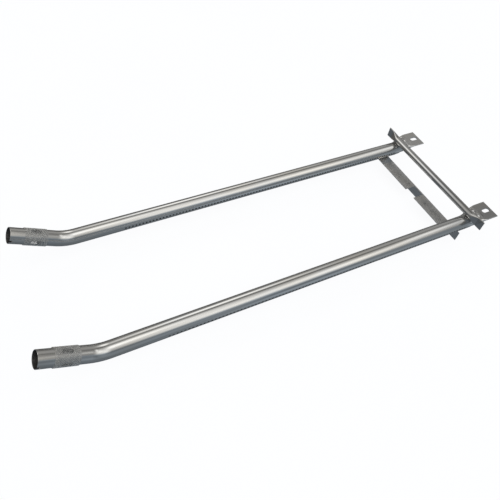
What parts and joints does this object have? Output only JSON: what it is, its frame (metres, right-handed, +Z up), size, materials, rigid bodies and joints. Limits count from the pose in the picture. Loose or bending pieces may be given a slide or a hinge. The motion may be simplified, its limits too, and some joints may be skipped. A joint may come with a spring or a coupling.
{
  "type": "gas burner tube assembly",
  "caption": "Twin stainless burner tubes with screened bent inlets, slotted fixing tabs, a carry-over tube on top and a folded support bracket underneath.",
  "frame": {"origin": "bottom centre of the box round the whole assembly: midway between the two tubes, midway between mouths and tabs, level with the lower edge of the bracket", "axes": "+X across the two tubes, +Y along the tubes from the inlets towards the slotted tabs, +Z up, the side the carry-over tube lies on"},
  "size_m": [0.28, 0.7998, 0.0867],
  "materials": {
    "tube_steel": "drawn and lightly polished stainless tube",
    "carry_over_steel": "drawn stainless tube",
    "sheet_steel": "dull mill-finish stainless sheet",
    "wire_steel": "woven stainless wire"
  },
  "bodies": {
    "root": {"burner_tube_left": "tube_steel", "burner_tube_right": "tube_steel", "carry_over_tube": "carry_over_steel", "support_bracket": "sheet_steel", "insect_screen_left": "wire_steel", "insect_screen_right": "wire_steel"}
  },
  "joints": []
}
